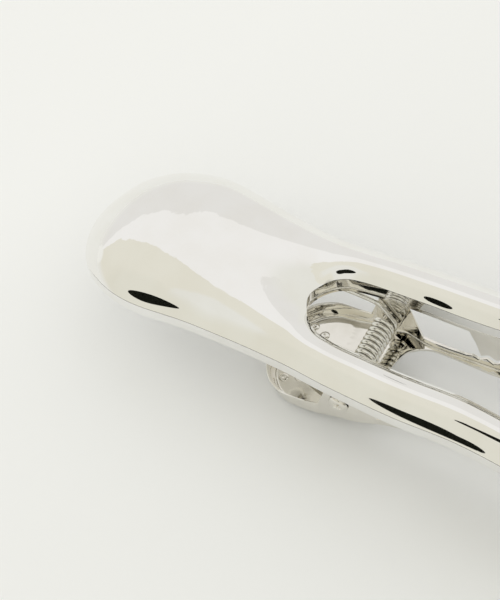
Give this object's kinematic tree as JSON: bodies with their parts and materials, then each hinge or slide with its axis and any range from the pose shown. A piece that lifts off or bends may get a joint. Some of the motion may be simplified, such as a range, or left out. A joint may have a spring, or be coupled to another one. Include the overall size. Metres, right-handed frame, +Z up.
{
  "type": "alligator hair clip",
  "caption": "Large plated metal alligator hair clip: domed loop-shaped shell with a bulbous thumb end, sprung on a stamped lever with a coil spring and toothed jaws.",
  "frame": {"origin": "bottom centre of the closed clip as it stands on a table", "axes": "+X from the thumb end to the jaw tip, +Y across, +Z up"},
  "size_m": [0.1344, 0.0336, 0.0275],
  "materials": {
    "polished_plate": "polished nickel plate",
    "stamped_plate": "bright plated stamping",
    "spring_wire": "plated spring wire"
  },
  "bodies": {
    "lower": {"lower_lever": "stamped_plate", "hinge_pin": "stamped_plate", "torsion_spring": "spring_wire"},
    "upper": {"top_shell": "polished_plate", "under_shell": "polished_plate", "upper_bracket": "stamped_plate", "shell_rivet_rear": "stamped_plate", "shell_rivet_left": "stamped_plate", "shell_rivet_right": "stamped_plate"}
  },
  "joints": [
    {"name": "jaw_hinge", "type": "hinge", "parent": "lower", "child": "upper", "pos_m": [-0.00975, 0, 0.01012], "axis": [0, -1, 0], "range_deg": [0, 28], "stiffness_Nm_per_rad": 0.1, "springref_deg": -34.38, "deforming": ["torsion_spring"]}
  ]
}
